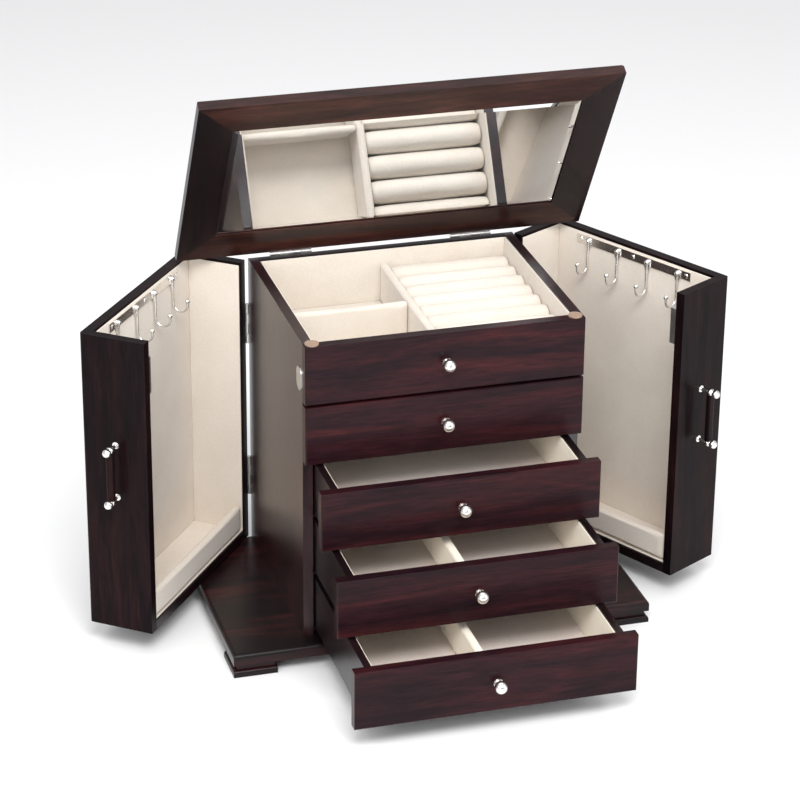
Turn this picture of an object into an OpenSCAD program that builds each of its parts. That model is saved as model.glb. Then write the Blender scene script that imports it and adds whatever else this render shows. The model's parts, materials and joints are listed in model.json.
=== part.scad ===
// Jewelry box: a four-drawer cabinet with two hinged side doors and a hinged
// mirror lid. Millimetres, +Z up, the drawers face -Y. The origin is the centre
// of the footprint of the box as it stands open, on the surface it rests on.

/* [Cabinet] */
// Width of the cabinet across the drawer faces
cab_w = 252; // [210:1:310]
// Depth of the cabinet from the drawer faces to its rear face
cab_d = 208; // [174:1:260]
// Height from one drawer face to the next
face_pitch = 57; // [47:0.5:70]
// Gap between two drawer faces
face_gap = 2.5; // [2:0.1:3.5]
// Thickness of a drawer face
face_t = 10; // [8:0.5:13]
// Thickness of the side panels
side_t = 9; // [7.5:0.5:12]
// Thickness of the rear panel
rear_t = 8; // [6.5:0.5:11]

/* [Base] */
// Height of the bracket feet
foot_h = 11.5; // [9:0.5:16]
// Thickness of the base slab
slab_t = 10.5; // [8.5:0.5:14]
// Distance the slab stands out past the closed doors at the front and rear
slab_margin = 4; // [2:0.5:6]
// Length of each leg of a bracket foot
foot_leg = 40; // [32:1:50]
// Distance the upper part of a foot is set back from its moulding
foot_setback = 3.5; // [2:0.5:6]

/* [Doors] */
// Depth of a door, from its open side to its outer face
door_depth = 62; // [50:1:76]
// Thickness of the door walls
door_t = 9; // [7:0.5:11]
// Height of the padded lip above the bottom lining of a door
lip_h = 27; // [22:1:34]
// Thickness of the padded lip
lip_t = 7.5; // [6:0.5:9]
// Angle the left door stands open
left_open = 38; // [0:0.5:100]
// Angle the right door stands open
right_open = 29; // [0:0.5:100]

/* [Lid] */
// Thickness of the lid frame
lid_t = 12; // [10:0.5:15]
// Width of the lid frame around the mirror
lid_margin = 33; // [26:1:40]
// Angle the lid stands open
lid_open = 59; // [0:1:90]

/* [Drawers] */
// Distance the first drawer is pulled out
pull_1 = 0; // [0:1:165]
// Distance the second drawer is pulled out
pull_2 = 53; // [0:1:165]
// Distance the third drawer is pulled out
pull_3 = 105; // [0:1:165]
// Distance the fourth drawer is pulled out
pull_4 = 161; // [0:1:165]
// Thickness of the drawer box walls
box_t = 6.5; // [5:0.5:8]
// Thickness of the padded dividers
divider_t = 7.5; // [6:0.5:9]

/* [Tray] */
// Depth from the cabinet rim to the top of the tray dividers
divider_drop = 11; // [9:0.5:14]
// Depth from the cabinet rim to the top of the ring rolls
roll_drop = 14; // [12:0.5:17]

/* [Hardware] */
// Diameter of the ball on a drawer knob
knob_d = 11.5; // [9:0.5:14]
// Width of the wooden bar of a door handle
bar_w = 7; // [6:0.5:8.5]
// Gap between the cabinet and the closed doors and lid
hinge_gap = 1.8; // [1.4:0.1:2.4]
// Diameter of a hinge barrel
barrel_d = 3.6; // [3:0.1:4.4]
// Length of a hinge
hinge_l = 39; // [32:1:47]
// Height of a necklace hook
hook_h = 36; // [30:1:43]

/* [Hidden] */
$fn = 48;

// Distance a cut passes the material, and a piece runs into its neighbour
over = 1;

// Cabinet carcass
face_count = 5;
drawer_count = 4;
base_z = foot_h + slab_t;
cab_top = base_z + face_count * face_pitch;
face_h = face_pitch - face_gap;
face_stop = 0.4;
carcass_y = face_t + face_stop;
half_w = cab_w / 2;
inner_half = half_w - side_t;
rear_inner_y = cab_d - rear_t;
edge_r = 1.2;

// Tray
board_t = 3;
board_drop = 1.5;
board_z = cab_top - face_h - board_drop;
lining_t = 1.5;
lining_drop = 0.8;
tray_front = carcass_y + lining_t;
tray_rear = rear_inner_y - lining_t;
tray_floor = board_z + board_t + lining_t;
tray_half = inner_half - lining_t;
main_divider_x = -1.25;
cross_shift = 2;
divider_top = cab_top - divider_drop;
roll_count = 8;
roll_gap = 0.8;
roll_top = cab_top - roll_drop;
roll_pitch = (tray_rear - tray_front) / roll_count;

// Drawer boxes
box_clear = 1.5;
box_half = inner_half - box_clear;
box_drop = 7;
box_h = face_pitch - box_drop;
box_rear_clear = 5;
box_l = rear_inner_y - face_t - box_rear_clear;
box_floor_t = 4;
glue_gap = 0.05;
drawer_lining_t = 1.2;
drawer_lining_drop = 1;
drawer_divider_drop = 6;
first_divided = 3;
runner_w = 10;
runner_t = 3;
runner_clear = 0.3;
divider_x = -9;
pulls = [pull_1, pull_2, pull_3, pull_4];

// Hinges: the leaves lie on the rear faces and the barrels stand behind them
barrel_clear = 0.15;
barrel_r = barrel_d / 2;
barrel_wall = 0.85;
pin_r = barrel_r - barrel_wall;
pin_fit = 0.05;
bore_r = pin_r + pin_fit;
leaf_t = 1;
leaf_w = 10;
leaf_x0 = barrel_r + barrel_clear;
leaf_lap = 1;
axis_out = barrel_r + barrel_clear;
knuckle_count = 4;
knuckle_gap = 0.6;
knuckle_l = (hinge_l - (knuckle_count - 1) * knuckle_gap) / knuckle_count;
axis_y = cab_d + axis_out;
door_axis_x = half_w + hinge_gap / 2;
lid_axis_z = cab_top + hinge_gap / 2;
lid_hinge_share = 0.34;
lid_hinge_x = lid_hinge_share * cab_w;
door_clear = 1.5;
door_z0 = base_z + door_clear;
door_z1 = cab_top - door_clear;
door_hinge_shares = [0.225, 0.775];
door_hinge_zs = [for (share = door_hinge_shares) up_the_door(share)];

// Doors, drawn about the pin axis: X away from the cabinet, -Y to the front
door_setback = 2;
door_front_y = door_setback - axis_y;
door_x0 = hinge_gap / 2;
door_x1 = door_x0 + door_depth;
panel_x0 = door_x1 - door_t;
front_in_y = door_front_y + door_t;
rear_in_y = -axis_out - door_t;
door_floor = door_z0 + door_t;
outer_r = 3;
lining_inset = 1.5;
lining_top_drop = 2.5;
door_half = half_w + hinge_gap + door_depth;

// Hook rail on the door panel
rail_t = 1.2;
rail_h = 8;
rail_drop = 4.5;
rail_top = door_z1 - rail_drop;
rail_mid = rail_top - rail_h / 2;
rail_share = 0.17;
rail_y0 = -rail_share * door_length();
rail_y1 = (rail_share - 1) * door_length();
rail_x = panel_x0 - drawer_lining_t;
hook_count = 4;
hook_margin = 14.5;
hook_reach = 16.5;
hook_r = 1.1;
hook_out = 1.2;
hook_tip_h = 4;
hook_tip_r = 2.3;
rivet_r = 2.8;
rivet_sink = 0.8;
tab_w = 6.2;
tab_h = 6;
tab_t = 1;
screw_count = 3;
screw_margin = 5;
screw_h = 1;
screw_r = 2.4;
screw_face_r = 1.6;

// Door handle, catch and strike plate
post_shares = [0.465, 0.643];
handle_zs = [for (share = post_shares) up_the_door(share)];
handle_share = 0.48;
handle_x = door_x0 + handle_share * door_depth;
bar_out = 12;
bar_flatness = 0.75;
bar_t = bar_flatness * bar_w;
bar_edge_r = 1.6;
bar_seat = 1.5;
post_r = 1.5;
post_bead_r = 3.6;
post_ball_r = 3.9;
post_foot_r = 3.1;
ball_step = 5.9;
catch_w = 6;
catch_base = 5;
catch_inset = 2;
catch_h = 34;
catch_drop = 34.5;
catch_z = door_z1 - catch_drop;
plate_gap = 1;
plate_h = 22;
plate_t = 1;
plate_r = 8;

// Lid, drawn about the pin axis: Z up and -Y to the front when closed
lid_overhang = 2.2;
lid_half = door_half + lid_overhang;
lid_front_y = -slab_margin - axis_y;
lid_rear_y = -axis_out;
lid_z0 = hinge_gap / 2;
lid_corner_r = 5;
mirror_t = 3;
mirror_recess = 1;
rebate = 4;
panel_lip = 3;
panel_recess = 1.5;

// Base slab and feet
slab_overhang = 2.5;
slab_half = lid_half + slab_overhang;
slab_step = 5;
slab_y0 = -slab_margin - slab_step;
slab_y1 = cab_d + slab_margin;
slab_edge_r = 4;
foot_w = 13;
moulding_h = 6;
moulding_r = 3;

// Knobs and felt dots
knob_neck_l = 3.5;
ball_sink = 0.75;
knob_foot_t = 1;
knob_foot_share = 0.36;
knob_neck_share = 0.19;
felt_r = 6.2;
felt_in_x = 7.5;
felt_in_y = 7;
felt_clear = 0.5;

// Height of a point at a share of the door height
function up_the_door(share) = door_z0 + share * (door_z1 - door_z0);

// Reach of the open box each way, for the origin
function door_length() = -door_front_y;
function door_reach(a) = door_axis_x - axis_out * sin(a) + door_length() * sin(a) + door_x1 * cos(a);
function door_rear(a) = axis_y + door_x1 * sin(a) - axis_out * cos(a);
knob_reach = knob_neck_l + knob_d - ball_sink;
reach_left = max(slab_half, door_reach(left_open));
reach_right = max(slab_half, door_reach(right_open));
reach_front = -min(slab_y0, -max(pulls) - knob_reach);
reach_rear = max(slab_y1, door_rear(left_open), door_rear(right_open));
x_mid = (reach_right - reach_left) / 2;
y_mid = (reach_rear - reach_front) / 2;

// Finishes
rosewood = [0.25, 0.12, 0.13];
dark_wood = [0.16, 0.10, 0.10];
cream = [0.90, 0.86, 0.79];
nickel = [0.75, 0.75, 0.76];
silver = [0.86, 0.88, 0.90];
felt = [0.70, 0.56, 0.40];

// ---- Frames -------------------------------------------------------------

module in_cabinet() {
    translate([-x_mid, -y_mid, 0])
        children();
}

module in_lid() {
    in_cabinet()
        translate([0, axis_y, lid_axis_z])
            rotate([-lid_open, 0, 0])
                children();
}

module in_left_door() {
    in_cabinet()
        translate([-door_axis_x, axis_y, 0])
            rotate([0, 0, -left_open])
                mirror([1, 0, 0])
                    children();
}

module in_right_door() {
    in_cabinet()
        translate([door_axis_x, axis_y, 0])
            rotate([0, 0, right_open])
                children();
}

// Origin at the top centre of the drawer's face, on its front plane
module in_drawer(n) {
    in_cabinet()
        translate([0, -pulls[n - 1], cab_top - n * face_pitch])
            children();
}

// ---- Shared shapes ------------------------------------------------------

// A box given by its two opposite corners
module block(a, b) {
    translate(a)
        cube(b - a);
}

// A cylinder along Y, from y0 to y1
module rod_y(x, y0, y1, z, r) {
    translate([x, y0, z])
        rotate([-90, 0, 0])
            cylinder(h = y1 - y0, r = r);
}

// A cylinder along X, from x0 to x1
module rod_x(x0, x1, y, z, r) {
    translate([x0, y, z])
        rotate([0, 90, 0])
            cylinder(h = x1 - x0, r = r);
}

// A drawer face with its four front edges eased, top centre at the origin
module eased_face(thick) {
    intersection() {
        union() {
            block([-half_w, edge_r, -face_h], [half_w, thick, 0]);
            block([-half_w, 0, edge_r - face_h], [half_w, thick, -edge_r]);
            for (z = [edge_r - face_h, -edge_r])
                rod_x(-half_w, half_w, edge_r, z, edge_r);
        }
        union() {
            block([-half_w, edge_r, -face_h], [half_w, thick, 0]);
            block([edge_r - half_w, 0, -face_h], [half_w - edge_r, thick, 0]);
            for (x = [edge_r - half_w, half_w - edge_r])
                translate([x, edge_r, -face_h])
                    cylinder(h = face_h, r = edge_r);
        }
    }
}

// A ball knob on a neck and foot, standing out of the plane y = 0
module knob() {
    ball_y = ball_sink - knob_neck_l - knob_d / 2;
    color(nickel) {
        rod_y(0, -knob_foot_t, 0, 0, knob_foot_share * knob_d);
        rod_y(0, ball_y, 0, 0, knob_neck_share * knob_d);
        translate([0, ball_y, 0])
            rotate([90, 0, 0])
                sphere(d = knob_d);
    }
}

// ---- Hinges -------------------------------------------------------------
// Drawn about the pin: pin along Z, fixed part towards -X, moving part
// towards +X, the rear faces they are fitted to at y = -axis_out.

module knuckle(k, dir) {
    z0 = -hinge_l / 2 + k * (knuckle_l + knuckle_gap);
    lap = leaf_x0 + leaf_lap;
    difference() {
        union() {
            translate([0, 0, z0])
                cylinder(h = knuckle_l, r = barrel_r);
            block([min(0, dir * lap), -axis_out, z0], [max(0, dir * lap), leaf_t - axis_out, z0 + knuckle_l]);
        }
        translate([0, 0, z0 - over])
            cylinder(h = knuckle_l + 2 * over, r = bore_r);
    }
}

// first: 0 for the fixed leaf, 1 for the moving leaf
module hinge_leaf(first) {
    dir = first == 0 ? -1 : 1;
    inner = dir * leaf_x0;
    outer = dir * (leaf_x0 + leaf_w);
    color(nickel) {
        block([min(inner, outer), -axis_out, -hinge_l / 2],
              [max(inner, outer), leaf_t - axis_out, hinge_l / 2]);
        for (k = [first : 2 : knuckle_count - 1])
            knuckle(k, dir);
    }
}

module hinge_pin() {
    color(nickel)
        translate([0, 0, -hinge_l / 2])
            cylinder(h = hinge_l, r = pin_r);
}

// Stands a hinge on its side for the lid: the moving part upwards
module lid_hinge_places() {
    for (x = [-lid_hinge_x, lid_hinge_x])
        translate([x, 0, 0])
            rotate([0, -90, 0])
                children();
}

module door_hinge_places() {
    for (z = door_hinge_zs)
        translate([0, 0, z])
            children();
}

// The same places for the parts that stay on the cabinet
module cabinet_hinge_places() {
    in_cabinet() {
        translate([0, axis_y, lid_axis_z])
            lid_hinge_places()
                children();
        translate([door_axis_x, axis_y, 0])
            door_hinge_places()
                children();
        translate([-door_axis_x, axis_y, 0])
            mirror([1, 0, 0])
                door_hinge_places()
                    children();
    }
}

module cabinet_hinge_leaves() {
    cabinet_hinge_places()
        hinge_leaf(0);
}

module hinge_pins() {
    cabinet_hinge_places()
        hinge_pin();
}

// ---- Base ---------------------------------------------------------------

// A board with its four upper edges rounded
module base_slab() {
    r = slab_edge_r;
    color(dark_wood)
        in_cabinet()
            intersection() {
                union() {
                    block([-slab_half, slab_y0, foot_h], [slab_half, slab_y1, base_z - r]);
                    block([-slab_half, slab_y0 + r, foot_h], [slab_half, slab_y1 - r, base_z]);
                    for (y = [slab_y0 + r, slab_y1 - r])
                        rod_x(-slab_half, slab_half, y, base_z - r, r);
                }
                union() {
                    block([-slab_half, slab_y0, foot_h], [slab_half, slab_y1, base_z - r]);
                    block([r - slab_half, slab_y0, foot_h], [slab_half - r, slab_y1, base_z]);
                    for (x = [r - slab_half, slab_half - r])
                        rod_y(x, slab_y0, slab_y1, base_z - r, r);
                }
            }
}

// The moulding round a bracket foot, its two outer upper edges rounded
module foot_moulding() {
    r = moulding_r;
    h = moulding_h;
    leg = foot_leg;
    difference() {
        intersection() {
            union() {
                block([0, 0, 0], [leg, leg, h - r]);
                block([0, r, 0], [leg, leg, h]);
                rod_x(0, leg, r, h - r, r);
            }
            union() {
                block([0, 0, 0], [leg, leg, h - r]);
                block([r, 0, 0], [leg, leg, h]);
                rod_y(r, 0, leg, h - r, r);
            }
        }
        block([foot_w, foot_w, -over], [leg + over, leg + over, h + over]);
    }
}

// One leg pair of a bracket foot, outer corner at the origin, legs to +X and +Y
module bracket_foot() {
    s = foot_setback;
    block([s, s, 0], [foot_leg - s / 2, foot_w, foot_h]);
    block([s, s, 0], [foot_w, foot_leg - s / 2, foot_h]);
    foot_moulding();
}

module feet() {
    color(dark_wood)
        in_cabinet()
            for (flip = [0, 1])
                mirror([flip, 0, 0]) {
                    translate([-slab_half, slab_y0, 0])
                        bracket_foot();
                    translate([-slab_half, slab_y1, 0])
                        mirror([0, 1, 0])
                            bracket_foot();
                }
}

// ---- Cabinet ------------------------------------------------------------

module side_panel(dir) {
    x0 = dir > 0 ? inner_half : -half_w;
    color(rosewood)
        in_cabinet()
            block([x0, carcass_y, base_z], [x0 + side_t, cab_d, cab_top]);
}

module left_side_panel() {
    side_panel(-1);
}

module right_side_panel() {
    side_panel(1);
}

module rear_panel() {
    color(dark_wood)
        in_cabinet()
            block([-inner_half, rear_inner_y, base_z], [inner_half, cab_d, cab_top]);
}

module false_front() {
    color(rosewood)
        in_cabinet()
            translate([0, 0, cab_top])
                eased_face(carcass_y);
}

module false_front_knob() {
    in_cabinet()
        translate([0, 0, cab_top - face_h / 2])
            knob();
}

module tray_board() {
    color(cream)
        in_cabinet()
            block([-inner_half, carcass_y, board_z], [inner_half, rear_inner_y, board_z + board_t]);
}

// The padded tray: floor and walls, one divider front to back and a cross divider
module tray_insert() {
    half_t = divider_t / 2;
    cross_y = (tray_front + tray_rear) / 2 - cross_shift;
    bottom = board_z + board_t;
    color(cream)
        in_cabinet() {
            difference() {
                block([-inner_half, carcass_y, bottom], [inner_half, rear_inner_y, cab_top - lining_drop]);
                block([-tray_half, tray_front, tray_floor], [tray_half, tray_rear, cab_top]);
            }
            block([main_divider_x - half_t, carcass_y + over, bottom],
                  [main_divider_x + half_t, rear_inner_y - over, divider_top]);
            block([-inner_half + over, cross_y - half_t, bottom],
                  [main_divider_x, cross_y + half_t, divider_top]);
        }
}

// A row of padded rolls that hold rings between them
module ring_rolls() {
    x0 = main_divider_x + divider_t / 2;
    width = roll_pitch - roll_gap;
    color(cream)
        in_cabinet()
            for (i = [0 : roll_count - 1]) {
                y = tray_front + (i + 0.5) * roll_pitch;
                block([x0, y - width / 2, tray_floor], [tray_half, y + width / 2, roll_top - width / 2]);
                rod_x(x0, tray_half, y, roll_top - width / 2, width / 2);
            }
}

module drawer_runners() {
    color(dark_wood)
        in_cabinet()
            for (n = [1 : drawer_count])
                for (x0 = [-inner_half, inner_half - runner_w]) {
                    top = cab_top - n * face_pitch - box_h - runner_clear;
                    block([x0, carcass_y, top - runner_t], [x0 + runner_w, rear_inner_y, top]);
                }
}

// Felt dots on the front corners of the rim, under the lid
module bumpers() {
    color(felt)
        in_cabinet()
            for (x = [felt_in_x - half_w, half_w - felt_in_x])
                translate([x, felt_in_y, cab_top])
                    cylinder(h = hinge_gap - felt_clear, r = felt_r);
}

// Plates with round ends, let onto the sides of the cabinet for the catches
module strike_plates() {
    y = carcass_y + plate_gap + plate_r;
    rise = plate_h / 2 - plate_r;
    color(nickel)
        in_cabinet()
            for (x0 = [-half_w - plate_t, half_w]) {
                block([x0, y - plate_r, catch_z - rise], [x0 + plate_t, y + plate_r, catch_z + rise]);
                for (z = [catch_z - rise, catch_z + rise])
                    rod_x(x0, x0 + plate_t, y, z, plate_r);
            }
}

// ---- Lid ----------------------------------------------------------------

// The outer form of the lid, its long upper edges rounded
module lid_form() {
    top = lid_z0 + lid_t;
    r = lid_corner_r;
    intersection() {
        union() {
            block([-lid_half, lid_front_y, lid_z0], [lid_half, lid_rear_y, top - r]);
            block([-lid_half, lid_front_y + r, lid_z0], [lid_half, lid_rear_y, top]);
            rod_x(-lid_half, lid_half, lid_front_y + r, top - r, r);
        }
        union() {
            block([-lid_half, lid_front_y, lid_z0], [lid_half, lid_rear_y, top - r]);
            block([r - lid_half, lid_front_y, lid_z0], [lid_half - r, lid_rear_y, top]);
            for (x = [r - lid_half, lid_half - r])
                rod_y(x, lid_front_y, lid_rear_y, top - r, r);
        }
    }
}

// The frame opening; grow widens it to the size of the glass and the panel
module lid_opening(z0, z1, grow) {
    block([lid_margin - lid_half - grow, lid_front_y + lid_margin - grow, z0],
          [lid_half - lid_margin + grow, lid_rear_y - lid_margin + grow, z1]);
}

// Corner wedges of the mitred frame, between two 45-degree cuts
module lid_end_wedge(dir) {
    mid_y = (lid_front_y + lid_rear_y) / 2;
    half_l = (lid_rear_y - lid_front_y) / 2;
    x0 = dir * lid_half;
    translate([0, 0, lid_z0])
        linear_extrude(height = lid_t)
            polygon([[x0, mid_y - half_l], [x0, mid_y + half_l], [x0 - dir * half_l, mid_y]]);
}

module lid_frame() {
    difference() {
        lid_form();
        lid_opening(lid_z0 - over, lid_z0 + lid_t + over, 0);
        lid_opening(lid_z0 + mirror_recess, lid_z0 + lid_t - panel_lip, rebate);
    }
}

// The long pieces of the frame, front and rear
module lid_rails() {
    color(rosewood)
        in_lid()
            difference() {
                lid_frame();
                lid_end_wedge(-1);
                lid_end_wedge(1);
            }
}

// The short pieces of the frame at the two ends
module lid_stiles() {
    color(dark_wood)
        in_lid()
            for (dir = [-1, 1])
                intersection() {
                    lid_frame();
                    lid_end_wedge(dir);
                }
}

module lid_panel() {
    z0 = lid_z0 + mirror_recess + mirror_t;
    z1 = lid_z0 + lid_t - panel_lip;
    color(rosewood)
        in_lid() {
            lid_opening(z0, z1, rebate);
            lid_opening(z1 - over, lid_z0 + lid_t - panel_recess, 0);
        }
}

module mirror_glass() {
    z0 = lid_z0 + mirror_recess;
    color(silver)
        in_lid()
            lid_opening(z0, z0 + mirror_t, rebate);
}

module lid_hinge_leaves() {
    in_lid()
        lid_hinge_places()
            hinge_leaf(1);
}

// ---- Doors --------------------------------------------------------------

module door_panel() {
    color(rosewood)
        block([panel_x0, front_in_y, door_z0], [door_x1, rear_in_y, door_z1]);
}

// The front wall, with its outer corners rounded
module door_front() {
    color(dark_wood) {
        block([door_x0, door_front_y + outer_r, door_z0], [door_x1, front_in_y, door_z1]);
        block([door_x0, door_front_y, door_z0], [door_x1 - outer_r, front_in_y, door_z1]);
        translate([door_x1 - outer_r, door_front_y + outer_r, door_z0])
            cylinder(h = door_z1 - door_z0, r = outer_r);
    }
}

module door_rear() {
    color(dark_wood)
        block([door_x0, rear_in_y, door_z0], [door_x1, -axis_out, door_z1]);
}

module door_bottom() {
    color(dark_wood)
        block([door_x0, front_in_y, door_z0], [panel_x0, rear_in_y, door_floor]);
}

// The padded lining with the lip that keeps the necklaces in
module door_lining() {
    t = drawer_lining_t;
    x0 = door_x0 + lining_inset;
    color(cream) {
        difference() {
            block([x0, front_in_y, door_floor], [panel_x0, rear_in_y, door_z1 - lining_top_drop]);
            block([door_x0, front_in_y + t, door_floor + t], [panel_x0 - t, rear_in_y - t, door_z1]);
        }
        block([x0, front_in_y, door_floor], [x0 + lip_t, rear_in_y, door_floor + t + lip_h]);
    }
}

module hook_rail() {
    color(nickel)
        block([rail_x - rail_t, rail_y1, rail_top - rail_h], [rail_x, rail_y0, rail_top]);
}

// Positions of n things spread along the rail with a margin at both ends
function spread(n, margin) = [for (i = [0 : n - 1]) rail_y0 - margin
    - i * (rail_y0 - rail_y1 - 2 * margin) / (n - 1)];

// The domed rivet that holds a hook to the rail
module rivet() {
    intersection() {
        translate([-rivet_sink, 0, 0])
            sphere(r = rivet_r);
        block([-2 * rivet_r, -rivet_r, -rivet_r], [0, rivet_r, rivet_r]);
    }
}

// The flat tab of a hook, narrowing to its shank below the rail
module hook_tab() {
    half = tab_w / 2;
    low = -rail_h / 2;
    translate([-tab_t, 0, 0])
        rotate([90, 0, 90])
            linear_extrude(height = tab_t)
                polygon([[-half, 0], [half, 0], [half, low], [hook_r, low - tab_h],
                         [-hook_r, low - tab_h], [-half, low]]);
}

// One hook: a shank down from a rivet, a round foot and an upturned tip
module hook() {
    bend_r = hook_reach / 2 - hook_r;
    rod_z = hook_h - rail_h / 2 - bend_r - hook_r;
    rivet();
    hook_tab();
    translate([-hook_out, 0, -rod_z])
        cylinder(h = rod_z, r = hook_r);
    translate([-hook_out - bend_r, 0, -rod_z])
        rotate([-90, 0, 0])
            rotate_extrude(angle = 180)
                translate([bend_r, 0])
                    circle(r = hook_r);
    translate([-hook_out - 2 * bend_r, 0, -rod_z]) {
        cylinder(h = hook_tip_h, r = hook_r);
        translate([0, 0, hook_tip_h])
            sphere(r = hook_tip_r);
    }
}

module hooks() {
    color(nickel)
        for (y = spread(hook_count, hook_margin))
            translate([rail_x - rail_t, y, rail_mid])
                hook();
}

module rail_screws() {
    color(nickel)
        for (y = spread(screw_count, screw_margin))
            translate([rail_x - rail_t - screw_h, y, rail_mid])
                rotate([0, 90, 0])
                    cylinder(h = screw_h, r1 = screw_face_r, r2 = screw_r);
}

// A ball about a point on a post
module post_ball(y, z, r) {
    translate([handle_x, y, z])
        rotate([90, 0, 0])
            sphere(r = r);
}

// The wooden bar, its long edges rounded, its ends hollowed for the beads
module handle_bar() {
    y = door_front_y - bar_out;
    r = bar_edge_r;
    half = bar_w / 2;
    z0 = handle_zs[0] + post_bead_r - bar_seat;
    z1 = handle_zs[1] - post_bead_r + bar_seat;
    color(dark_wood)
        difference() {
            union() {
                block([handle_x - half + r, y - bar_t / 2, z0], [handle_x + half - r, y + bar_t / 2, z1]);
                block([handle_x - half, y - bar_t / 2 + r, z0], [handle_x + half, y + bar_t / 2 - r, z1]);
                for (dx = [r - half, half - r])
                    for (dy = [r - bar_t / 2, bar_t / 2 - r])
                        translate([handle_x + dx, y + dy, z0])
                            cylinder(h = z1 - z0, r = r);
            }
            for (z = handle_zs) {
                post_ball(y, z, post_bead_r);
                post_ball(y - ball_step, z, post_ball_r);
            }
        }
}

// Two posts, each with a foot on the door, a bead that holds the bar and a ball in front
module handle_posts() {
    y = door_front_y - bar_out;
    color(nickel)
        for (z = handle_zs) {
            rod_y(handle_x, y - ball_step, door_front_y, z, post_r);
            rod_y(handle_x, door_front_y - knob_foot_t, door_front_y, z, post_foot_r);
            post_ball(y, z, post_bead_r);
            post_ball(y - ball_step, z, post_ball_r);
        }
}

// A magnetic catch body with a rounded front, on the front wall near the rim
module catch() {
    x0 = door_x0 + catch_inset;
    y0 = front_in_y + drawer_lining_t;
    z0 = catch_z - catch_h / 2;
    color(nickel) {
        block([x0, y0, z0], [x0 + catch_w, y0 + catch_base, z0 + catch_h]);
        translate([x0 + catch_w / 2, y0 + catch_base, z0])
            cylinder(h = catch_h, r = catch_w / 2);
    }
}

module door_hinge_leaves() {
    door_hinge_places()
        hinge_leaf(1);
}

// ---- Drawers ------------------------------------------------------------

module drawer_front(n) {
    color(rosewood)
        in_drawer(n)
            eased_face(face_t);
}

// Two sides, a rear wall and a bottom, glued at their joints
module drawer_box(n) {
    g = glue_gap;
    y1 = face_t + box_l;
    color(dark_wood)
        in_drawer(n) {
            for (x0 = [-box_half, box_half - box_t])
                block([x0, face_t, -box_h], [x0 + box_t, y1, 0]);
            block([box_t - box_half + g, y1 - box_t, -box_h], [box_half - box_t - g, y1, 0]);
            block([box_t - box_half + g, face_t, -box_h],
                  [box_half - box_t - g, y1 - box_t - g, box_floor_t - box_h]);
        }
}

module drawer_lining(n) {
    t = drawer_lining_t;
    g = glue_gap;
    x1 = box_half - box_t - g;
    y1 = face_t + box_l - box_t - g;
    bottom = box_floor_t - box_h;
    color(cream)
        in_drawer(n) {
            difference() {
                block([-x1, face_t, bottom], [x1, y1, -drawer_lining_drop]);
                block([t - x1, face_t + t, bottom + t], [x1 - t, y1 - t, over]);
            }
            if (n >= first_divided)
                block([divider_x - divider_t / 2, face_t + t / 2, bottom + t / 2],
                      [divider_x + divider_t / 2, y1 - t / 2, -drawer_divider_drop]);
        }
}

module drawer_knob(n) {
    in_drawer(n)
        translate([0, 0, -face_h / 2])
            knob();
}

// ---- Nodes --------------------------------------------------------------

base_slab();
feet();
left_side_panel();
right_side_panel();
rear_panel();
false_front();
false_front_knob();
tray_board();
tray_insert();
ring_rolls();
drawer_runners();
bumpers();
strike_plates();
cabinet_hinge_leaves();
hinge_pins();
lid_rails();
lid_stiles();
lid_panel();
mirror_glass();
lid_hinge_leaves();
in_left_door() door_panel();  // left_door_panel
in_left_door() door_front();  // left_door_front
in_left_door() door_rear();  // left_door_rear
in_left_door() door_bottom();  // left_door_bottom
in_left_door() door_lining();  // left_door_lining
in_left_door() hook_rail();  // left_hook_rail
in_left_door() hooks();  // left_hooks
in_left_door() rail_screws();  // left_rail_screws
in_left_door() handle_bar();  // left_handle_bar
in_left_door() handle_posts();  // left_handle_posts
in_left_door() catch();  // left_catch
in_left_door() door_hinge_leaves();  // left_door_hinge_leaves
in_right_door() door_panel();  // right_door_panel
in_right_door() door_front();  // right_door_front
in_right_door() door_rear();  // right_door_rear
in_right_door() door_bottom();  // right_door_bottom
in_right_door() door_lining();  // right_door_lining
in_right_door() hook_rail();  // right_hook_rail
in_right_door() hooks();  // right_hooks
in_right_door() rail_screws();  // right_rail_screws
in_right_door() handle_bar();  // right_handle_bar
in_right_door() handle_posts();  // right_handle_posts
in_right_door() catch();  // right_catch
in_right_door() door_hinge_leaves();  // right_door_hinge_leaves
drawer_front(1);  // drawer_1_front
drawer_box(1);  // drawer_1_box
drawer_lining(1);  // drawer_1_lining
drawer_knob(1);  // drawer_1_knob
drawer_front(2);  // drawer_2_front
drawer_box(2);  // drawer_2_box
drawer_lining(2);  // drawer_2_lining
drawer_knob(2);  // drawer_2_knob
drawer_front(3);  // drawer_3_front
drawer_box(3);  // drawer_3_box
drawer_lining(3);  // drawer_3_lining
drawer_knob(3);  // drawer_3_knob
drawer_front(4);  // drawer_4_front
drawer_box(4);  // drawer_4_box
drawer_lining(4);  // drawer_4_lining
drawer_knob(4);  // drawer_4_knob
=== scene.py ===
"""Looks for the jewelry box: procedural wood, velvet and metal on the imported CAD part.

The velvet pieces and the mirror are built here and replace their plain CAD solids.
All lengths are in metres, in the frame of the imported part.
"""

import json
import math

import bpy
from mathutils import Matrix, Vector, noise


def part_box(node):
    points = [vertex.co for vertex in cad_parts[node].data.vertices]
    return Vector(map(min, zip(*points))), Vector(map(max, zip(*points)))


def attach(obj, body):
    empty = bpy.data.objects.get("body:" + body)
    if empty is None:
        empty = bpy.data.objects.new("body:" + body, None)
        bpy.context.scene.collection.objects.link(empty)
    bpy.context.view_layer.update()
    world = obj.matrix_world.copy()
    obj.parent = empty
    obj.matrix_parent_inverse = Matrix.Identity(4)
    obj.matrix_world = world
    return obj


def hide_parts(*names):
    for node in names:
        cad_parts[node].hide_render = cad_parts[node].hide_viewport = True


MM = 0.001

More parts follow.
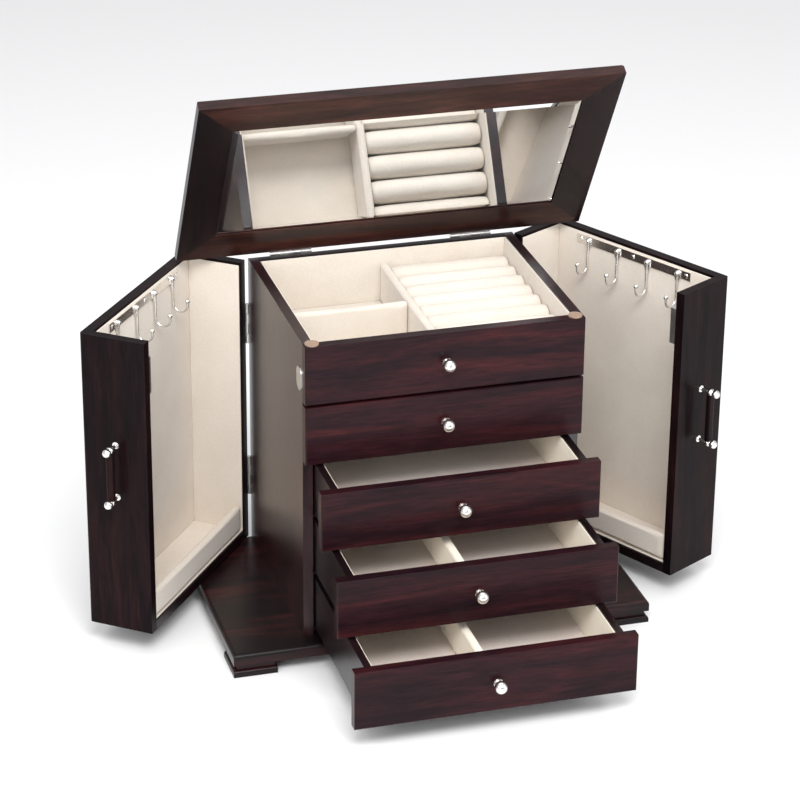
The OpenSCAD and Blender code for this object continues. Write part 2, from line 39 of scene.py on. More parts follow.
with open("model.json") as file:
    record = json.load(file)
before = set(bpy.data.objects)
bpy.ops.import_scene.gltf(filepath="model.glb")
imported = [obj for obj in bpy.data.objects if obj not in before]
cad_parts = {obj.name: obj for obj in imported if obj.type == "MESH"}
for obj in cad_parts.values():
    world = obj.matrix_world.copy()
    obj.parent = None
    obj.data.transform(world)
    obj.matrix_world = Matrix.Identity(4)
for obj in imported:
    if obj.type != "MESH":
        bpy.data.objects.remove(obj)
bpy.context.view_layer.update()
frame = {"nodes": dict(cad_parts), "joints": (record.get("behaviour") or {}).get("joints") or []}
nodes = frame["nodes"]
joints = {joint["name"]: joint for joint in frame["joints"]}


# ---- Frames of the moving parts -----------------------------------------

def rest_matrix(joint_name):
    """Takes points of a hinged part from its closed position to where it rests."""
    joint = joints[joint_name]
    pivot = Matrix.Translation(Vector(joint["pos_m"]))
    angle = math.radians(-joint["range_deg"][0])
    turn = Matrix.Rotation(angle, 4, Vector(joint["axis"]))
    return pivot @ turn @ pivot.inverted()


def closed_box(node, matrix):
    """The box of a CAD node in the closed position of its hinged part."""
    back = matrix.inverted()
    points = [back @ v.co for v in nodes[node].data.vertices]
    low = Vector([min(p[i] for p in points) for i in range(3)])
    high = Vector([max(p[i] for p in points) for i in range(3)])
    return low, high


LID = rest_matrix("lid_hinge")
DOORS = {side: rest_matrix(side + "_door_hinge") for side in ("left", "right")}
STILL = Matrix.Identity(4)


# ---- Material helpers ---------------------------------------------------

class Shader:
    """A material under construction, with short calls for its nodes."""

    def __init__(self, name):
        self.material = bpy.data.materials.new(name)
        self.material.use_nodes = True
        self.tree = self.material.node_tree
        self.surface = self.tree.nodes["Principled BSDF"]
        self.coords = self.add("ShaderNodeTexCoord").outputs["Object"]

    def add(self, kind, **values):
        made = self.tree.nodes.new(kind)
        for key, value in values.items():
            setattr(made, key, value)
        return made

    def link(self, output, target):
        self.tree.links.new(output, target)

    def mapped(self, scale, matrix=STILL):
        """Object coordinates turned back to the closed position, then scaled."""
        turn = self.add("ShaderNodeMapping", vector_type="POINT")
        turn.inputs["Rotation"].default_value = matrix.inverted().to_euler()
        self.link(self.coords, turn.inputs["Vector"])
        stretch = self.add("ShaderNodeMapping", vector_type="POINT")
        stretch.inputs["Scale"].default_value = scale
        self.link(turn.outputs["Vector"], stretch.inputs["Vector"])
        return stretch.outputs["Vector"]

    def noise(self, vector, scale, detail=4.0, rough=0.55, distortion=0.0):
        made = self.add("ShaderNodeTexNoise")
        made.inputs["Scale"].default_value = scale
        made.inputs["Detail"].default_value = detail
        made.inputs["Roughness"].default_value = rough
        made.inputs["Distortion"].default_value = distortion
        self.link(vector, made.inputs["Vector"])
        return made.outputs["Fac"]

    def ramp(self, factor, stops):
        made = self.add("ShaderNodeValToRGB")
        elements = made.color_ramp.elements
        while len(elements) < len(stops):
            elements.new(0.5)
        for element, (place, colour) in zip(elements, stops):
            element.position = place
            element.color = (*colour, 1.0)
        self.link(factor, made.inputs["Fac"])
        return made.outputs["Color"]

    def span(self, factor, low, high):
        """Rescales a 0 to 1 factor to the range from low to high."""
        made = self.add("ShaderNodeMapRange")
        made.inputs["To Min"].default_value = low
        made.inputs["To Max"].default_value = high
        self.link(factor, made.inputs["Value"])
        return made.outputs["Result"]

    def darken(self, factor, first, second):
        """The first colour multiplied by the second, as far as the factor says."""
        made = self.add("ShaderNodeMixRGB", blend_type="MULTIPLY")
        made.inputs["Fac"].default_value = factor
        self.link(first, made.inputs["Color1"])
        self.link(second, made.inputs["Color2"])
        return made.outputs["Color"]

    def bump(self, height, strength, distance):
        made = self.add("ShaderNodeBump")
        made.inputs["Strength"].default_value = strength
        made.inputs["Distance"].default_value = distance
        self.link(height, made.inputs["Height"])
        self.link(made.outputs["Normal"], self.surface.inputs["Normal"])

    def set(self, **values):
        for key, value in values.items():
            self.surface.inputs[key.replace("_", " ")].default_value = value


# Noise scales are in cycles per metre, bump distances in metres
GRAIN_ALONG = 0.10
SEED_SHIFT = (1.0, 0.37, 0.61)
FIGURE_SCALE = 38.0
PORE_SCALE = 420.0
CLOUD_SCALE = 9.0
PORE_MIX = 0.75
CLOUD_MIX = 0.8
LACQUER_ROUGH = (0.24, 0.36)
PORE_BUMP = 0.12
PORE_DEPTH = 0.2 * MM


def wood(name, along, dark, middle, light, matrix=STILL, seed=0.0, specular=0.25):
    """Lacquered wood: figure and fine grain drawn out along one axis of the part."""
    shader = Shader(name)
    scale = [1.0, 1.0, 1.0]
    scale[along] = GRAIN_ALONG
    vector = shader.mapped(scale, matrix)
    offset = shader.add("ShaderNodeVectorMath", operation="ADD")
    offset.inputs[1].default_value = [seed * part for part in SEED_SHIFT]
    shader.link(vector, offset.inputs[0])
    vector = offset.outputs["Vector"]
    figure = shader.noise(vector, FIGURE_SCALE, detail=6.0, rough=0.6, distortion=1.6)
    fine = shader.noise(vector, PORE_SCALE, detail=6.0, rough=0.7)
    cloud = shader.noise(shader.coords, CLOUD_SCALE, detail=2.0)
    base = shader.ramp(figure, [(0.30, dark), (0.5, middle), (0.72, light)])
    pores = shader.ramp(fine, [(0.38, (0.45, 0.42, 0.42)), (0.6, (1.0, 1.0, 1.0))])
    clouds = shader.ramp(cloud, [(0.3, (0.72, 0.7, 0.72)), (0.7, (1.15, 1.05, 1.05))])
    grained = shader.darken(PORE_MIX, base, pores)
    colour = shader.darken(CLOUD_MIX, grained, clouds)
    shader.link(colour, shader.surface.inputs["Base Color"])
    shader.link(shader.span(fine, *LACQUER_ROUGH), shader.surface.inputs["Roughness"])
    shader.bump(fine, PORE_BUMP, PORE_DEPTH)
    shader.set(Specular_IOR_Level=specular, Coat_Weight=0.03, Coat_Roughness=0.1)
    return shader.material


NAP_SCALE = 900.0
PATCH_SCALE = 22.0
NAP_MIX = 0.8
NAP_BUMP = 0.35
NAP_DEPTH = 0.4 * MM


def velvet(name, colour, shade):
    """Short-pile lining: a mottled colour, a soft sheen and a fine nap."""
    shader = Shader(name)
    nap = shader.noise(shader.coords, NAP_SCALE, detail=3.0, rough=0.7)
    patch = shader.noise(shader.coords, PATCH_SCALE, detail=4.0, rough=0.6)
    tones = shader.ramp(patch, [(0.35, shade), (0.65, colour)])
    speck = shader.ramp(nap, [(0.3, (0.86, 0.85, 0.84)), (0.65, (1.0, 1.0, 1.0))])
    shader.link(shader.darken(NAP_MIX, tones, speck), shader.surface.inputs["Base Color"])
    shader.bump(nap, NAP_BUMP, NAP_DEPTH)
    shader.set(Roughness=0.92, Sheen_Weight=0.35, Sheen_Roughness=0.5, Specular_IOR_Level=0.2)
    return shader.material


FIBRE_SCALE = 1500.0
FIBRE_BUMP = 0.6
FIBRE_DEPTH = 0.5 * MM


def felt(name, colour, shade):
    """Pressed felt: a matt, coarse tangle of fibres."""
    shader = Shader(name)
    fibre = shader.noise(shader.coords, FIBRE_SCALE, detail=4.0, rough=0.8)
    tones = shader.ramp(fibre, [(0.3, shade), (0.7, colour)])
    shader.link(tones, shader.surface.inputs["Base Color"])
    shader.bump(fibre, FIBRE_BUMP, FIBRE_DEPTH)
    shader.set(Roughness=1.0, Specular_IOR_Level=0.1)
    return shader.material


WEAR_SCALE = 160.0
WEAR_SHADE = 0.82
SCRATCH_SCALE = 1800.0
SCRATCH_DEPTH = 0.1 * MM


def metal(name, colour, smooth, rough, scratch=0.05):
    """Plated metal with faint wear in its gloss."""
    shader = Shader(name)
    wear = shader.noise(shader.coords, WEAR_SCALE, detail=5.0, rough=0.6)
    fine = shader.noise(shader.coords, SCRATCH_SCALE, detail=2.0)
    worn = tuple(WEAR_SHADE * c for c in colour)
    tones = shader.ramp(wear, [(0.3, worn), (0.6, colour)])
    shader.link(tones, shader.surface.inputs["Base Color"])
    shader.link(shader.span(wear, smooth, rough), shader.surface.inputs["Roughness"])
    shader.bump(fine, scratch, SCRATCH_DEPTH)
    shader.set(Metallic=1.0)
    return shader.material


HAZE_SCALE = 30.0
MIRROR_ROUGH = (0.015, 0.035)


def mirror_silver(name):
    """A true mirror with a trace of haze in its tint and gloss."""
    shader = Shader(name)
    haze = shader.noise(shader.coords, HAZE_SCALE, detail=3.0)
    tones = shader.ramp(haze, [(0.3, (0.86, 0.88, 0.89)), (0.7, (0.92, 0.93, 0.93))])
    shader.link(tones, shader.surface.inputs["Base Color"])
    shader.link(shader.span(haze, *MIRROR_ROUGH), shader.surface.inputs["Roughness"])
    shader.set(Metallic=1.0)
    return shader.material


# ---- Mesh helpers -------------------------------------------------------

CORNER_STEPS = 4
RIPPLE_SCALE = 60.0
EDGE_RIPPLE = 0.2
MAX_ROUND = 0.98
NEAR_ZERO = 1e-9


def axis_steps(half, radius, pitch):
    """Places along one axis of a rounded box: fine in the corners, even between."""
    flat = half - radius
    quarter = [0.5 * math.pi * k / CORNER_STEPS for k in range(CORNER_STEPS + 1)]
    corner = [flat + radius * math.sin(angle) for angle in quarter]
    count = max(2, 2 * round(flat / pitch))
    inner = [-flat + 2 * flat * k / count for k in range(1, count)]
    return [-c for c in reversed(corner)] + inner + corner


def box_surface(steps):
    """Vertices and quads of a box whose faces are gridded at the given steps."""
    index = {}
    points = []
    quads = []

    def corner(key):
        if key not in index:
            index[key] = len(points)
            points.append(Vector([steps[i][key[i]] for i in range(3)]))
        return index[key]

    for axis in range(3):
        u, v = (axis + 1) % 3, (axis + 2) % 3
        for side in (0, len(steps[axis]) - 1):
            for i in range(len(steps[u]) - 1):
                for j in range(len(steps[v]) - 1):
                    quad = []
                    for di, dj in ((0, 0), (1, 0), (1, 1), (0, 1)):
                        key = [0, 0, 0]
                        key[axis], key[u], key[v] = side, i + di, j + dj
                        quad.append(corner(tuple(key)))
                    quads.append(quad if side else quad[::-1])
    return points, quads


def soft_box(low, high, radius, wave=0.0, pitch=6.0 * MM, seed=0.0):
    """A rounded box whose faces waver by wave, most at their middles."""
    low, high = Vector(low), Vector(high)
    half = (high - low) / 2
    centre = (high + low) / 2
    radius = min(radius, MAX_ROUND * min(half))
    steps = [axis_steps(half[i], radius, pitch) for i in range(3)]
    points, quads = box_surface(steps)
    inner = Vector([h - radius for h in half])
    shaped = []
    for p in points:
        core = Vector([max(-inner[i], min(inner[i], p[i])) for i in range(3)])
        normal = (p - core).normalized()
        share = [1 - min(1.0, abs(core[i]) / max(inner[i], NEAR_ZERO)) ** 2 for i in range(3)]
        swell = sum(abs(normal[i]) * share[(i + 1) % 3] * share[(i + 2) % 3] for i in range(3))
        place = centre + core + normal * radius
        ripple = noise.noise(place * RIPPLE_SCALE + Vector((seed, 0, 0)))
        shaped.append(place + normal * (wave * ripple * min(1.0, swell + EDGE_RIPPLE)))
    return shaped, quads


def make_object(name, parts, matrix=STILL):
    """One mesh object from (points, faces) parts, taken through a matrix, smooth shaded."""
    mesh = bpy.data.meshes.new(name)
    points = []
    faces = []
    for part_points, part_faces in parts:
        base = len(points)
        points += [matrix @ p for p in part_points]
        faces += [[base + i for i in face] for face in part_faces]
    mesh.from_pydata(points, [], faces)
    mesh.update()
    obj = bpy.data.objects.new(name, mesh)
    bpy.context.scene.collection.objects.link(obj)
    smooth(obj)
    return obj


def smooth(obj):
    for polygon in obj.data.polygons:
        polygon.use_smooth = True


def finish_piece(obj, material, body, slot, *replaced):
    """Gives a piece its looks and body, and hides the CAD nodes it stands for; the slot argument is
    not used.
    """
    obj.data.materials.clear()
    obj.data.materials.append(material)
    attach(obj, body)
    if replaced:
        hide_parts(*replaced)


def evaluated_mesh(obj):
    graph = bpy.context.evaluated_depsgraph_get()
    return bpy.data.meshes.new_from_object(obj.evaluated_get(graph))


SIM_FRAMES = 16
PRESSURE = 4.0
PAD_VOXEL = 2.2 * MM


def inflate(obj, cap):
    """Remeshes a pad, blows it up as cloth, and keeps each point within cap of its start."""
    remesh = obj.modifiers.new("remesh", "REMESH")
    remesh.mode = "VOXEL"
    remesh.voxel_size = PAD_VOXEL
    obj.data = evaluated_mesh(obj)
    obj.modifiers.clear()
    start = [v.co.copy() for v in obj.data.vertices]
    cloth = obj.modifiers.new("cloth", "CLOTH")
    cloth.settings.use_pressure = True
    cloth.settings.uniform_pressure_force = PRESSURE
    cloth.settings.effector_weights.gravity = 0.0
    scene = bpy.context.scene
    for step in range(1, SIM_FRAMES + 1):
        scene.frame_set(step)
    blown = [v.co.copy() for v in evaluated_mesh(obj).vertices]
    obj.modifiers.clear()
    scene.frame_set(1)
    for vertex, before, after in zip(obj.data.vertices, start, blown):
        move = after - before
        vertex.co = before + move.normalized() * min(cap, move.length)
    subdivide = obj.modifiers.new("smooth", "SUBSURF")
    subdivide.levels = 1
    subdivide.render_levels = 1
    obj.data = evaluated_mesh(obj)
    obj.modifiers.clear()
    smooth(obj)


PAD_CAP = 1.4 * MM
PAD_RADIUS = 2.6 * MM
PAD_ROOM = 0.4 * PAD_CAP


def taken_mesh(obj):
    """The points and faces of a scratch object, which is then removed."""
    points = [v.co.copy() for v in obj.data.vertices]
    faces = [list(p.vertices) for p in obj.data.polygons]
    bpy.data.objects.remove(obj)
    return points, faces


def pad_template(size):
    """The points and faces of a padded board of the given size, centred, after cloth."""
    half = Vector(size) / 2 - Vector((PAD_ROOM, PAD_ROOM, PAD_ROOM))
    obj = make_object("template", [soft_box(-half, half, PAD_RADIUS, pitch=4.0 * MM)])
    inflate(obj, PAD_CAP)
    limit = Vector(size) / 2
    points, faces = taken_mesh(obj)
    kept = [Vector([max(-limit[i], min(limit[i], p[i])) for i in range(3)]) for p in points]
    return kept, faces


def placed(template, centre):
    points, faces = template
    return [p + Vector(centre) for p in points], faces


# ---- Materials ----------------------------------------------------------

# Axes of the grain
X = 0
Y = 1
Z = 2

# Dark, middle and light tones of the lacquered wood
ROSE_DARK = (0.009, 0.004, 0.007)
ROSE_MIDDLE = (0.023, 0.007, 0.010)
ROSE_LIGHT = (0.056, 0.012, 0.013)
NIGHT_DARK = (0.005, 0.003, 0.004)
NIGHT_MIDDLE = (0.010, 0.005, 0.006)
NIGHT_LIGHT = (0.024, 0.009, 0.009)
BROWN_DARK = (0.014, 0.006, 0.006)
BROWN_MIDDLE = (0.038, 0.013, 0.010)
BROWN_LIGHT = (0.085, 0.030, 0.020)

face_woods = [
    wood("face_wood_%d" % i, X, ROSE_DARK, ROSE_MIDDLE, ROSE_LIGHT, seed=0.7 * i, specular=0.12)
    for i in range(5)
]
side_wood = wood("side_wood", Z, NIGHT_DARK, ROSE_MIDDLE, ROSE_LIGHT, seed=4.1, specular=0.9)
rear_wood = wood("rear_wood", X, NIGHT_DARK, NIGHT_MIDDLE, NIGHT_LIGHT, seed=5.3)
base_wood = wood("base_wood", X, NIGHT_DARK, NIGHT_MIDDLE, ROSE_LIGHT, seed=6.7)
box_wood = wood("box_wood", Y, NIGHT_DARK, NIGHT_MIDDLE, NIGHT_LIGHT, seed=7.9)
rail_wood = wood("rail_wood", X, BROWN_DARK, BROWN_MIDDLE, BROWN_LIGHT, LID, seed=8.3)
stile_wood = wood("stile_wood", Y, NIGHT_DARK, NIGHT_MIDDLE, NIGHT_LIGHT, LID, seed=9.1)
panel_wood = wood("panel_wood", X, ROSE_DARK, ROSE_MIDDLE, ROSE_LIGHT, LID, seed=10.7)
door_woods = {
    side: wood(side + "_door_wood", Z, NIGHT_DARK, NIGHT_MIDDLE, NIGHT_LIGHT, DOORS[side], seed, 0.05)
    for side, seed in (("left", 11.3), ("right", 12.9))
}
board_woods = {
    side: wood(side + "_board_wood", Y, NIGHT_DARK, NIGHT_MIDDLE, NIGHT_LIGHT, DOORS[side], seed)
    for side, seed in (("left", 13.3), ("right", 14.9))
}
cream = velvet("cream_velvet", (0.82, 0.745, 0.66), (0.78, 0.70, 0.61))
# Cream velvet made about a tenth darker for the tray, its dividers and rolls: painted shade that
# holds back the strong light on the tray.
tray_cream_painted_shade = velvet("tray_velvet_painted_shade", (0.74, 0.68, 0.605), (0.70, 0.63, 0.55))
# Cream velvet made brighter and a little yellower for the drawers' walls and dividers: the yellower
# tone is the lining's own, the extra brightness is painted light standing in for the shade inside the
# drawers.
ivory_painted_light = velvet("ivory_velvet_painted_light", (0.95, 0.88, 0.74), (0.92, 0.84, 0.69))
# Pink velvet for the drawers' floor pads: the pink tone is the pads' own, the near-white brightness
# is painted light standing in for the shade inside the drawers.
blush_painted_light = velvet("blush_velvet_painted_light", (0.97, 0.86, 0.79), (0.93, 0.81, 0.73))
tan_felt = felt("tan_felt", (0.40, 0.29, 0.22), (0.26, 0.18, 0.13))
nickel = metal("nickel", (0.90, 0.88, 0.85), 0.18, 0.30)
steel = metal("plated_steel", (0.78, 0.77, 0.75), 0.28, 0.42, 0.1)
silver = mirror_silver("silvered_glass")

NODE_MATERIALS = {
    "base_slab": base_wood,
    "feet": base_wood,
    "left_side_panel": side_wood,
    "right_side_panel": side_wood,
    "rear_panel": rear_wood,
    "false_front": face_woods[0],
    "false_front_knob": nickel,
    "tray_board": rear_wood,
    "drawer_runners": box_wood,
    "bumpers": tan_felt,
    "strike_plates": steel,
    "cabinet_hinge_leaves": steel,
    "hinge_pins": steel,
    "lid_rails": rail_wood,
    "lid_stiles": stile_wood,
    "lid_panel": panel_wood,
    "lid_hinge_leaves": steel,
}
for side in ("left", "right"):
    for part in ("door_panel", "door_front", "door_rear", "handle_bar"):
        NODE_MATERIALS["%s_%s" % (side, part)] = door_woods[side]
    NODE_MATERIALS[side + "_door_bottom"] = board_woods[side]
    for part in ("hook_rail", "hooks", "rail_screws", "handle_posts"):
        NODE_MATERIALS["%s_%s" % (side, part)] = nickel
    for part in ("catch", "door_hinge_leaves"):
        NODE_MATERIALS["%s_%s" % (side, part)] = steel
for number in range(1, 5):
    NODE_MATERIALS["drawer_%d_front" % number] = face_woods[number]
    NODE_MATERIALS["drawer_%d_box" % number] = box_wood
    NODE_MATERIALS["drawer_%d_knob" % number] = nickel


def paint(node, material):
    slots = nodes[node].material_slots
    for slot in slots:
        slot.material = material


for node, material in NODE_MATERIALS.items():
    paint(node, material)


# ---- Velvet linings -----------------------------------------------------

# FABRIC is the material slot that the part's record gives to every lining
FABRIC = "cream_velvet"
CARD = 1.15 * MM
EDGE = 0.55 * MM


def card(low, high, seed):
    """A velvet-covered card with rounded edges."""
    return soft_box(low, high, EDGE, wave=0.15 * MM, pitch=9.0 * MM, seed=seed)


def open_box(low, high, thick, seed):
    """Floor and four walls of a lining, open at the top."""
    (x0, y0, z0), (x1, y1, z1) = low, high
    return [
        card((x0, y0, z0), (x1, y1, z0 + thick), seed),
        card((x0, y0, z0 + thick), (x0 + thick, y1, z1), seed + 1),
        card((x1 - thick, y0, z0 + thick), (x1, y1, z1), seed + 2),
        card((x0 + thick, y0, z0 + thick), (x1 - thick, y0 + thick, z1), seed + 3),
        card((x0 + thick, y1 - thick, z0 + thick), (x1 - thick, y1, z1), seed + 4),
    ]


# The dividers' places repeat those of the CAD source
DIVIDER_X = -9.0 * MM
DIVIDER_T = 7.5 * MM
DIVIDER_DROP = 5.0 * MM
FLOOR_PAD_T = 0.8 * MM
FLOOR_PAD_EDGE = 0.39 * MM
DIVIDED_DRAWERS = (3, 4)


def drawer_linings():
    """Velvet walls and a floor pad for each drawer, and a divider in the lower two."""
    low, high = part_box("drawer_3_lining")
    divider = pad_template(
        (DIVIDER_T, high.y - low.y - CARD, high.z - low.z - DIVIDER_DROP - CARD)
    )
    face_low, face_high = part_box("drawer_1_front")
    centre_x = (face_low.x + face_high.x) / 2
    for number in range(1, 5):
        low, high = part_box("drawer_%d_lining" % number)
        body = "drawer_%d" % number
        name = body + "_velvet_lining"
        lining = make_object(name, open_box(low, high, CARD, 3.0 * number))
        # The walls wear the brightened cream velvet: painted light.
        finish_piece(lining, ivory_painted_light, body, FABRIC, body + "_lining")
        floor = make_object(
            body + "_floor_pad",
            [soft_box(
                (low.x + CARD, low.y + CARD, low.z + CARD),
                (high.x - CARD, high.y - CARD, low.z + CARD + FLOOR_PAD_T),
                FLOOR_PAD_EDGE, wave=0.2 * MM, seed=number,
            )],
        )
        # The floor pad wears the brightened pink velvet: painted light.
        finish_piece(floor, blush_painted_light, body, FABRIC)
        if number in DIVIDED_DRAWERS:
            place = (
                centre_x + DIVIDER_X,
                (low.y + high.y) / 2,
                (low.z + CARD + high.z - DIVIDER_DROP) / 2,
            )
            piece = make_object(body + "_divider", [placed(divider, place)])
            # The divider wears the brightened cream velvet: painted light.
            finish_piece(piece, ivory_painted_light, body, FABRIC)


TRAY_CARD = 1.5 * MM
MAIN_DIVIDER_X = -1.25 * MM
TRAY_DIVIDER_DROP = 10.2 * MM
CROSS_OFFSET = -2.0 * MM
CROSS_LAP = 0.5 * MM


def tray():
    """The lining of the tray, with a divider front to back and one across the left half."""
    low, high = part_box("tray_insert")
    centre_x = (low.x + high.x) / 2
    lining = make_object("tray_velvet_lining", open_box(low, high, TRAY_CARD, 20.0))
    # The tray's lining and dividers wear the darkened cream velvet: painted shade.
    finish_piece(lining, tray_cream_painted_shade, "cabinet", FABRIC, "tray_insert")
    floor_z = low.z + TRAY_CARD
    top_z = high.z - TRAY_DIVIDER_DROP
    mid_z = (floor_z + top_z) / 2
    main_x = centre_x + MAIN_DIVIDER_X
    main = pad_template((DIVIDER_T, high.y - low.y - 2 * TRAY_CARD, top_z - floor_z))
    piece = make_object("tray_main_divider", [placed(main, (main_x, (low.y + high.y) / 2, mid_z))])
    finish_piece(piece, tray_cream_painted_shade, "cabinet", FABRIC)
    x0 = low.x + TRAY_CARD
    x1 = main_x - DIVIDER_T / 2 + CROSS_LAP
    cross = pad_template((x1 - x0, DIVIDER_T, top_z - floor_z))
    cross_y = (low.y + high.y) / 2 + CROSS_OFFSET
    piece = make_object("tray_cross_divider", [placed(cross, ((x0 + x1) / 2, cross_y, mid_z))])
    finish_piece(piece, tray_cream_painted_shade, "cabinet", FABRIC)


ROLL_COUNT = 8
ROLL_GAP = 0.8 * MM
ROLL_ARC_STEPS = 16
ROLL_SIDE_STEPS = (0.08, 0.3, 0.55)
ROLL_FOOT_TUCK = 0.96
ROLL_RINGS = 28
ROLL_END_TUCK = 0.10
ROLL_END_POWER = 14
ROLL_CAP = 0.7 * MM
ROLL_WAVE = 0.35 * MM
ROLL_WAVE_SCALE = 45.0

# Room left on each side of a roll for its cloth to swell into
ROLL_ROOM_X = 0.4 * MM
ROLL_ROOM_Y = 0.5 * MM
ROLL_ROOM_Z = 0.6 * MM


def roll_profile(width, height):
    """The outline of a padded ring roll in Y and Z, round on top, tucked in below."""
    radius = width / 2
    outline = []
    for k in range(ROLL_ARC_STEPS + 1):
        angle = math.pi * k / ROLL_ARC_STEPS
        outline.append((radius * math.cos(angle), height - radius + radius * math.sin(angle)))
    for z in reversed(ROLL_SIDE_STEPS):
        outline.append((-ROLL_FOOT_TUCK * radius, z * height))
    for z in ROLL_SIDE_STEPS:
        outline.append((ROLL_FOOT_TUCK * radius, z * height))
    return outline


def roll_mesh(length, outline, middle_z):
    """A closed tube along X with the given outline, its ends drawn in a little."""
    points = []
    faces = []
    for i in range(ROLL_RINGS + 1):
        t = i / ROLL_RINGS
        x = (t - 0.5) * length
        tuck = 1.0 - ROLL_END_TUCK * (abs(2 * t - 1) ** ROLL_END_POWER)
        for y, z in outline:
            points.append(Vector((x, y * tuck, middle_z + (z - middle_z) * tuck)))
    count = len(outline)
    for i in range(ROLL_RINGS):
        near = i * count
        far = near + count
        for j in range(count):
            k = (j + 1) % count
            faces.append([near + j, far + j, far + k, near + k])
    faces.append(list(range(count)))
    faces.append([ROLL_RINGS * count + j for j in reversed(range(count))])
    return points, faces


def ring_rolls():
    """Eight padded rolls side by side in the right half of the tray."""
    low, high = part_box("ring_rolls")
    pitch = (high.y - low.y + ROLL_GAP) / ROLL_COUNT
    width = pitch - ROLL_GAP
    height = high.z - low.z
    length = high.x - low.x
    outline = roll_profile(width - 2 * ROLL_ROOM_Y, height - ROLL_ROOM_Z)
    source = make_object("template", [roll_mesh(length - 2 * ROLL_ROOM_X, outline, height / 2)])
    inflate(source, ROLL_CAP)
    points, faces = taken_mesh(source)
    for i in range(ROLL_COUNT):
        centre = Vector(((low.x + high.x) / 2, low.y + width / 2 + i * pitch, low.z))
        moved = []
        for p in points:
            ripple = noise.noise(p * ROLL_WAVE_SCALE + Vector((7.0 * i, 0, 0)))
            moved.append(centre + p + Vector((0, 0, ROLL_WAVE * ripple)))
        piece = make_object("ring_roll_%d" % (i + 1), [(moved, faces)])
        # The rolls wear the darkened cream velvet: painted shade.
        finish_piece(piece, tray_cream_painted_shade, "cabinet", FABRIC, "ring_rolls")


LIP_T = 7.5 * MM
LIP_TOP = 27.0 * MM


def door_linings():
    """Velvet walls for both doors, with a padded lip along the foot of the open side."""
    lip = None
    for side in ("left", "right"):
        matrix = DOORS[side]
        low, high = closed_box(side + "_door_lining", matrix)
        x0, x1 = low.x, high.x
        if side == "left":
            back = ((x0, low.y, low.z), (x0 + CARD, high.y, high.z))
            inner = (x0 + CARD, x1)
            lip_x = x1 - LIP_T / 2
        else:
            back = ((x1 - CARD, low.y, low.z), (x1, high.y, high.z))
            inner = (x0, x1 - CARD)
            lip_x = x0 + LIP_T / 2
        boards = [
            card(back[0], back[1], 31.0),
            card((inner[0], low.y, low.z), (inner[1], low.y + CARD, high.z), 32.0),
            card((inner[0], high.y - CARD, low.z), (inner[1], high.y, high.z), 33.0),
            card((inner[0], low.y + CARD, low.z), (inner[1], high.y - CARD, low.z + CARD), 34.0),
        ]
        lining = make_object(side + "_door_velvet_lining", boards, matrix)
        finish_piece(lining, cream, side + "_door", FABRIC, side + "_door_lining")
        if lip is None:
            lip = pad_template((LIP_T, high.y - low.y - 2 * CARD, LIP_TOP))
        place = (lip_x, (low.y + high.y) / 2, low.z + CARD + LIP_TOP / 2)
        piece = make_object(side + "_door_lip", [placed(lip, place)], matrix)
        finish_piece(piece, cream, side + "_door", FABRIC)


# ---- Mirror -------------------------------------------------------------

BEVEL_W = 6.0 * MM
BEVEL_H = 0.55 * MM
REBATE = 4.0 * MM


def bevelled_mirror():
    """A sheet of glass whose seen face has a narrow sloped border."""
    (x0, y0, z0), (x1, y1, z1) = closed_box("mirror_glass", LID)
    loops = []
    for inset, z in (
        (0.0, z1), (0.0, z0 + BEVEL_H), (REBATE, z0 + BEVEL_H), (REBATE + BEVEL_W, z0)
    ):
        loops.append([
            Vector((x0 + inset, y0 + inset, z)), Vector((x1 - inset, y0 + inset, z)),
            Vector((x1 - inset, y1 - inset, z)), Vector((x0 + inset, y1 - inset, z)),
        ])
    points = [p for loop in loops for p in loop]
    faces = [[0, 1, 2, 3]]
    for level in range(len(loops) - 1):
        for j in range(4):
            k = (j + 1) % 4
            a = 4 * level
            faces.append([a + k, a + j, a + 4 + j, a + 4 + k])
    last = 4 * (len(loops) - 1)
    faces.append([last + 3, last + 2, last + 1, last])
    piece = make_object("mirror_bevelled", [(points, faces)], LID)
    for polygon in piece.data.polygons:
        polygon.use_smooth = False
    finish_piece(piece, silver, "lid", "mirror", "mirror_glass")


drawer_linings()
tray()
ring_rolls()
door_linings()
bevelled_mirror()


# ---- Camera, light and floor --------------------------------------------

CAMERA_AZIMUTH = -16.34
CAMERA_ELEVATION = 25.05
CAMERA_ROLL = 0.55
CAMERA_DISTANCE = 2.7295
CAMERA_LENS = 135.49
CAMERA_SENSOR = 36.0
CAMERA_NEAR = 0.1
CAMERA_FAR = 50.0
CAMERA_TARGET = (0.0024, 0.0781, 0.1931)


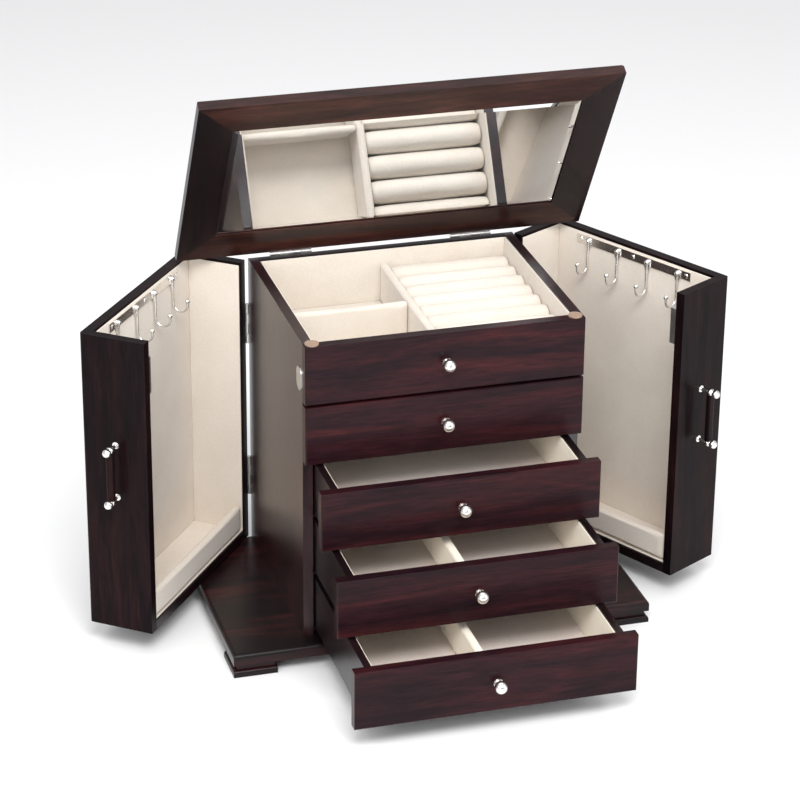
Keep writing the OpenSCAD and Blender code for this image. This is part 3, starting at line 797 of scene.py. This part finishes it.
def make_camera():
    azimuth = math.radians(CAMERA_AZIMUTH)
    elevation = math.radians(CAMERA_ELEVATION)
    back = Vector((
        math.sin(azimuth) * math.cos(elevation),
        -math.cos(azimuth) * math.cos(elevation),
        math.sin(elevation),
    ))
    data = bpy.data.cameras.new("camera")
    data.lens = CAMERA_LENS
    data.sensor_width = CAMERA_SENSOR
    data.clip_start = CAMERA_NEAR
    data.clip_end = CAMERA_FAR
    camera = bpy.data.objects.new("camera", data)
    camera.location = Vector(CAMERA_TARGET) + CAMERA_DISTANCE * back
    turn = (-back).to_track_quat("-Z", "Y").to_matrix().to_4x4()
    roll = Matrix.Rotation(math.radians(CAMERA_ROLL), 4, "Z")
    camera.rotation_euler = (turn @ roll).to_euler()
    bpy.context.scene.collection.objects.link(camera)
    bpy.context.scene.camera = camera


LIGHT_AIM = (0.0, 0.0, 0.2)
WORLD_COLOUR = (0.98, 0.98, 1.0, 1.0)
WORLD_STRENGTH = 0.6
FLOOR_COLOUR = (0.93, 0.93, 0.93, 1.0)
FLOOR_HALF = 6.0


def area_light(name, place, size, power):
    """A soft rectangular light that faces the box."""
    data = bpy.data.lights.new(name, "AREA")
    data.shape = "RECTANGLE"
    data.size, data.size_y = size
    data.energy = power
    light = bpy.data.objects.new(name, data)
    light.location = place
    direction = Vector(LIGHT_AIM) - Vector(place)
    light.rotation_euler = direction.to_track_quat("-Z", "Y").to_euler()
    bpy.context.scene.collection.objects.link(light)


def make_lights():
    area_light("front", (-0.3, -1.6, 2.1), (1.2, 0.9), 46.0)
    area_light("key", (-1.5, -1.5, 1.3), (1.4, 1.4), 18.0)
    area_light("fill", (1.7, -1.4, 1.2), (1.2, 1.6), 16.0)
    area_light("top", (0.0, 0.1, 2.4), (2.6, 2.0), 17.0)


def make_world():
    world = bpy.data.worlds.new("studio")
    world.use_nodes = True
    background = world.node_tree.nodes["Background"]
    background.inputs["Color"].default_value = WORLD_COLOUR
    background.inputs["Strength"].default_value = WORLD_STRENGTH
    bpy.context.scene.world = world
    bpy.context.scene.view_settings.view_transform = "Standard"


def make_floor():
    shader = Shader("floor_paper")
    shader.set(Base_Color=FLOOR_COLOUR, Roughness=0.9, Specular_IOR_Level=0.1)
    signs = ((-1, -1), (1, -1), (1, 1), (-1, 1))
    corners = [Vector((sx * FLOOR_HALF, sy * FLOOR_HALF, 0.0)) for sx, sy in signs]
    floor = make_object("floor", [(corners, [[0, 1, 2, 3]])])
    floor.data.materials.append(shader.material)


make_camera()
make_lights()
make_world()
make_floor()
